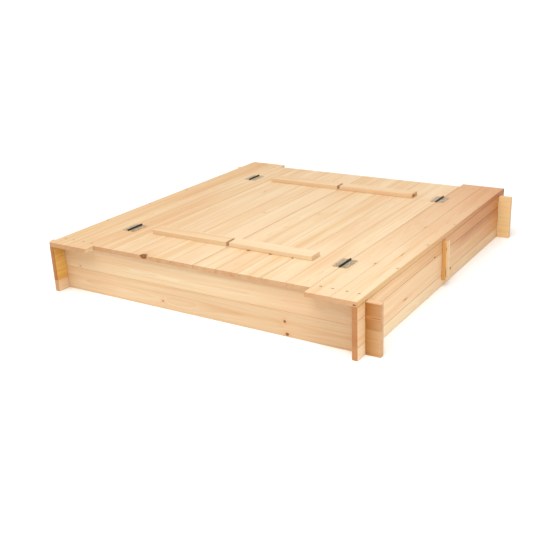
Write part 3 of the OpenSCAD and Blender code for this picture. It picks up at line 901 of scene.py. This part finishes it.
def leafPlate(name, firstKnuckle):
    # Stamped sheet with fingers that roll into knuckles, and three countersunk holes.
    pitch = leaf["length"] / leaf["knuckles"]
    half, corner, gap = leaf["length"] / 2, leaf["corner"], leaf["knuckleGap"] / 2
    outline = []
    for turnY in (-1, 1):
        outline += roundedCorner(leaf["width"], turnY * half, 1, turnY, corner, leaf["cornerSteps"])[::turnY]
    for k in reversed(range(leaf["knuckles"])):
        own = (k - firstKnuckle) % 2 == 0
        x, shift = (0, -gap) if own else (leaf["relief"], gap)
        upper = min((k + 1) * pitch - half + shift, half)
        lower = max(k * pitch - half - shift, -half)
        outline += [(x, upper), (x, lower)]
    plate = addPiece(name, builtMesh(name, extrudedOutline(outline, 0, leaf["sheet"])))
    stamped = plate.modifiers.new("stampedEdges", "BEVEL")
    stamped.width = leaf["edge"]
    stamped.segments = leaf["edgeSteps"]
    stamped.limit_method = "ANGLE"
    stamped.angle_limit = math.radians(leaf["edgeAngle"])
    hole, reach = leaf["holeWidth"] / 2, leaf["drillReach"]
    spread = hole + (leaf["sinkWidth"] / 2 - hole) * (1 + reach / leaf["sinkDepth"])
    profile = [(0, -reach), (hole, -reach), (hole, leaf["sheet"] - leaf["sinkDepth"]),
               (spread, leaf["sheet"] + reach), (0, leaf["sheet"] + reach)]
    drills = []
    for x, y in leaf["holes"]:
        drill = addPiece("countersink", turnedMesh("countersink", profile))
        drill.data.transform(Matrix.Translation((x, y, 0)))
        drills.append(drill)
    cutAway(plate, drills)
    return plate


def rolledKnuckles(name, firstKnuckle):
    # The end of the sheet rolled round the pin, once for each of the leaf's own knuckles.
    pitch, top = leaf["length"] / leaf["knuckles"], leaf["barrelHeight"]
    steps = leaf["rollSteps"]
    turns = [math.radians(-90 - leaf["rollTurn"] * i / steps) for i in range(steps + 1)]
    outside, inside = (
        [(radius * math.cos(turn), top + radius * math.sin(turn)) for turn in turns]
        for radius in (leaf["rollOutside"], leaf["rollInside"]))
    outline = [(leaf["rollLap"], outside[0][1])] + outside + inside[::-1] + [(leaf["rollLap"], inside[0][1])]
    knuckles = sweepPiece(name, [outline], pitch - leaf["knuckleGap"], leaf["rollEase"], darkBrownPinSteel,
                          count=3 - firstKnuckle, step=2 * pitch)
    knuckles.data.transform(Matrix.Translation((0, (firstKnuckle + 0.5) * pitch - leaf["length"] / 2, 0)))
    return knuckles


def hingeLeafMesh(firstKnuckle):
    plate = leafPlate("leafPlate", firstKnuckle)
    smoothFaces(plate, leaf["sharpAngle"])
    plate.data.materials.append(zincPlatedSteel)
    plate.data.materials.append(darkBrownPinSteel)
    knuckles = rolledKnuckles("knuckles", firstKnuckle)
    smoothFaces(knuckles, leaf["sharpAngle"])
    builder = bmesh.new()
    builder.from_mesh(plate.data)
    plateFaces = len(builder.faces)
    builder.from_mesh(knuckles.data)
    for i, face in enumerate(builder.faces):
        face.material_index = 0 if i < plateFaces else 1
    mesh = plate.data.copy()
    builder.to_mesh(mesh)
    builder.free()
    for used in (plate, knuckles):
        bpy.data.objects.remove(used)
    return mesh


leafMeshes = [hingeLeafMesh(firstKnuckle) for firstKnuckle in (0, 1)]

# The lines that the hinges turn on, from the boards on both sides of them.
hingeX = (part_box("right_seat_outer_board")[1].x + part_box("right_strip_inner_board")[0].x) / 2
foldX = (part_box("right_backrest_bottom_board")[1].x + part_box("right_seat_inner_board")[0].x) / 2
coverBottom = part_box("left_seat_inner_board")[0].z


def hingePlace(side, end, line, out):
    # A leaf reaches along +X and lies on z = 0. It is turned round to the other side of its pin,
    # and the fold hinges are turned over, because they are under the cover.
    if line == "cover":
        turn = Matrix.Rotation(0 if side * out > 0 else math.pi, 4, "Z")
        spot = (side * hingeX, end * fittingY, coverTop)
    else:
        turn = Matrix.Rotation(math.pi, 4, "X" if side * out > 0 else "Y")
        spot = (side * foldX, end * fittingY, coverBottom)
    return Matrix.Translation(spot) @ turn


hingeLeaves = {  # (body, line that it turns on, first knuckle, 1 outwards or -1 inwards)
    "{side}_strip_{end}_leaf": ("box", "cover", 0, 1),
    "{side}_seat_{end}_leaf": ("{side}_seat", "cover", 1, -1),
    "{side}_seat_{end}_fold_leaf": ("{side}_seat", "fold", 0, 1),
    "{side}_backrest_{end}_leaf": ("{side}_backrest", "fold", 1, -1),
}

for pattern, (bodyPattern, line, firstKnuckle, out) in hingeLeaves.items():
    for sideName, side in sides.items():
        for endName, end in ends.items():
            node = pattern.format(side=sideName, end=endName)
            piece = addPiece(pieceName(node), leafMeshes[firstKnuckle].copy())
            piece.data.transform(hingePlace(side, end, line, out))
            hold(piece, bodyPattern.format(side=sideName), "hinge_leaves", node)
print("hinges: sixteen leaves")


def fixingRowTree():
    # Sets a copy of the fixing at each point. Its top faces the way that the point keeps, and it
    # is turned about its own axis by chance, as driven screws are.
    tree, given = newTree("fixingRow", {
        "Fixing": "Object", "Turn": "Float", "Seed": "Int", "Material": "Material",
    })
    add = partial(addNode, tree)
    facing = add("GeometryNodeInputNamedAttribute", {"Name": "facing"}, data_type="FLOAT_VECTOR")
    aimed = add("FunctionNodeAlignRotationToVector", {"Vector": facing}, axis="Z")
    chance = add("FunctionNodeRandomValue", {2: 0.0, 3: given["Turn"], "Seed": given["Seed"]},
                 data_type="FLOAT")
    spin = add("FunctionNodeAxisAngleToRotation", {"Axis": (0, 0, 1), "Angle": chance})
    turned = add("FunctionNodeRotateRotation", {"Rotation": aimed, "Rotate By": spin},
                 rotation_space="LOCAL")
    fixing = add("GeometryNodeObjectInfo", {"Object": given["Fixing"]})
    placed = add("GeometryNodeInstanceOnPoints", {
        "Points": given["Geometry"], "Instance": fixing.outputs["Geometry"], "Rotation": turned,
    })
    return endTree(tree, placed, given["Material"])


fixingRow = fixingRowTree()


fixingSteps = 20            # corners round a screw or a pin


screwForm = {               # shares of the head's half width, unless it says otherwise
    "tip": (0.15, 0.2),     # half width and length of the blunt tip, as shares of the shank's
    "rim": 0.05,
    # Each point is a share of the half width, and then rims outwards and upwards.
    "headOutline": ((1, -0.4, -1.0), (1, 0.0, -0.6), (1, -0.5, -0.1), (0.8, 0, 0)),
    "recessLength": 1.15,
    "recessWidth": 0.26,
    "recessFloor": 0.45,    # size at the bottom of the recess, as a share of the top
    "recessDepth": 1.5,     # as a share of the head's depth, half of it above the head
}


def woodScrew(name, shankWidth, headWidth, length):
    # Countersunk screw with its head's top at z = 0, and a cross recess cut into the head.
    form = screwForm
    shank, head = shankWidth / 2, headWidth / 2
    headDepth, rim = head - shank, head * form["rim"]
    tipWidth, tipLength = form["tip"]
    profile = [
        (0, -length), (shank * tipWidth, -length + shank * tipLength), (shank, -length + shankWidth),
        (shank, -headDepth - rim),
    ]
    profile += [(head * share + rim * out, rim * rise) for share, out, rise in form["headOutline"]]
    profile.append((0, 0))
    screw = addPiece(name, turnedMesh(name, profile, fixingSteps))
    recess = bmesh.new()
    for turn in (0, math.pi / 2):
        arm = bmesh.ops.create_cube(recess, size=1.0)["verts"]
        for corner in arm:
            share = 1.0 if corner.co.z > 0 else form["recessFloor"]
            corner.co = Vector((corner.co.x * head * form["recessLength"] * share,
                                corner.co.y * head * form["recessWidth"] * share,
                                corner.co.z * headDepth * form["recessDepth"]))
        bmesh.ops.rotate(recess, verts=arm, matrix=Matrix.Rotation(turn, 3, "Z"))
    cutAway(screw, [addPiece("recess", builtMesh("recess", recess))], cuttersCross=True)
    return screw


pin = {
    "shank": 0.0015,
    "dome": ((0, 0.0010), (0.0009, 0.00092), (0.0017, 0.00066), (0.0023, 0.00025), (0.0023, 0)),
}


def hingePin(name):
    # Riveted pin: a plain shank with a domed head at each end, along Z from its middle.
    half, shank = leaf["length"] / 2, pin["shank"]
    upper = [(radius, half + rise) for radius, rise in pin["dome"]]
    profile = [(radius, -z) for radius, z in upper] + [(shank, -half), (shank, half)] + upper[::-1]
    return addPiece(name, turnedMesh(name, profile, fixingSteps))


fixings = {
    "leafScrew": woodScrew("leafScrew", 0.003, 0.006, 0.012),
    "stripScrew": woodScrew("stripScrew", 0.004, 0.008, 0.040),
    "wallScrew": woodScrew("wallScrew", 0.004, 0.008, 0.030),
    "backScrew": woodScrew("backScrew", 0.004, 0.008, 0.025),
    "hingePin": hingePin("hingePin"),
}
fixingPlaces = {
    "headProud": 0.0002,     # a head driven into bare wood stands this far out of it
    "stripAside": 0.018,     # from the middle of a cover board
    "battenAside": 0.012,    # from the middle of a batten
    "alongWall": (-0.6, -0.2, 0.2, 0.6),  # shares of half the wall's length
    "coverBoards": 7,        # on each side of the middle
    "besideJoint": 0.2,      # share of a wall board's width from its joint
    "turn": 1.4,             # radians by which driven screws differ
    "sharpAngle": 40,
}
up, down = Vector((0, 0, 1)), Vector((0, 0, -1))


def leafSpots(side, line, outs):
    spots = []
    for end in ends.values():
        for out in outs:
            place = hingePlace(side, end, line, out)
            for x, y in leaf["holes"]:
                spots.append((place @ Vector((x, y, leaf["sheet"])), place.to_3x3() @ up))
    return spots


def pinSpots(side, line):
    places = [hingePlace(side, end, line, 1) for end in ends.values()]
    return [(place @ Vector((0, 0, leaf["barrelHeight"])), Vector((0, 1, 0))) for place in places]


def stripSpots(side):
    wallMid = (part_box("right_wall_middle_board")[0].x + rightFace) / 2
    spots = []
    for part in ("inner", "outer"):
        low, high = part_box(f"right_strip_{part}_board")
        if part == "inner":
            high.x -= cover["tongue"][0]
        for aside in (-fixingPlaces["stripAside"], fixingPlaces["stripAside"]):
            x = (low.x + high.x) / 2 + aside
            spots += [(side * x, -wallMid), (side * x, wallMid)]
    spots += [(side * wallMid, share * rightFace) for share in fixingPlaces["alongWall"]]
    return [(Vector((x, y, coverTop + fixingPlaces["headProud"])), up) for x, y in spots]


def battenSpots(side):
    spots = []
    pitch = rightFace / fixingPlaces["coverBoards"]
    depth = coverBottom - fixingPlaces["headProud"]
    for i in range(3):
        for end in ends.values():
            for aside in (-fixingPlaces["battenAside"], fixingPlaces["battenAside"]):
                spots.append((Vector((side * (i + 0.5) * pitch, end * fittingY + aside, depth)), down))
    return spots


def wallBattenSpots(side):
    low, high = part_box("right_wall_batten")
    lowest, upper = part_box("right_wall_middle_board")
    wide, share = upper.z - lowest.z, fixingPlaces["besideJoint"]
    heights = ((low.z + lowest.z) / 2, (1 - share) * wide, (1 + share) * wide, (upper.z + high.z) / 2)
    x = side * (high.x + fixingPlaces["headProud"])
    return [(Vector((x, 0, z)), Vector((side, 0, 0))) for z in heights]


def fixingPiece(node, body, slot, fixing, spots, material, seed):
    mesh = bpy.data.meshes.new(pieceName(node))
    mesh.from_pydata([spot for spot, _ in spots], [], [])
    facing = [part for _, way in spots for part in way]
    keepValues(mesh, "facing", "FLOAT_VECTOR", "POINT", facing)
    piece = addPiece(pieceName(node), mesh)
    runTree(piece, fixingRow, Fixing=fixings[fixing], Turn=fixingPlaces["turn"], Seed=seed,
            Material=material)
    smoothFaces(piece, fixingPlaces["sharpAngle"])
    hold(piece, body, slot, node)


def bothSides(spots, *choice):
    return spots(-1, *choice) + spots(1, *choice)


fixingPiece("wall_batten_screws", "box", "screws", "wallScrew",
            bothSides(wallBattenSpots), yellowZincSteel, 1)
fixingPiece("strip_screws", "box", "screws", "stripScrew", bothSides(stripSpots), yellowZincSteel, 2)
fixingPiece("strip_leaf_screws", "box", "screws", "leafScrew",
            bothSides(leafSpots, "cover", [1]), yellowZincSteel, 3)
fixingPiece("strip_hinge_pins", "box", "hinge_pins", "hingePin",
            bothSides(pinSpots, "cover"), darkBrownPinSteel, 4)
for sideName, side in sides.items():
    seat, backrest = f"{sideName}_seat", f"{sideName}_backrest"
    fixingPiece(f"{sideName}_fold_hinge_pins", seat, "hinge_pins", "hingePin",
                pinSpots(side, "fold"), darkBrownPinSteel, 5)
    fixingPiece(f"{seat}_leaf_screws", seat, "screws", "leafScrew",
                leafSpots(side, "cover", [-1]) + leafSpots(side, "fold", [1]), yellowZincSteel, 6)
    fixingPiece(f"{backrest}_leaf_screws", backrest, "screws", "leafScrew",
                leafSpots(side, "fold", [-1]), yellowZincSteel, 7)
    fixingPiece(f"{sideName}_batten_screws", backrest, "screws", "backScrew",
                battenSpots(side), yellowZincSteel, 8)
for fixing in fixings.values():
    bpy.data.objects.remove(fixing)
print("fixings: screws and pins")
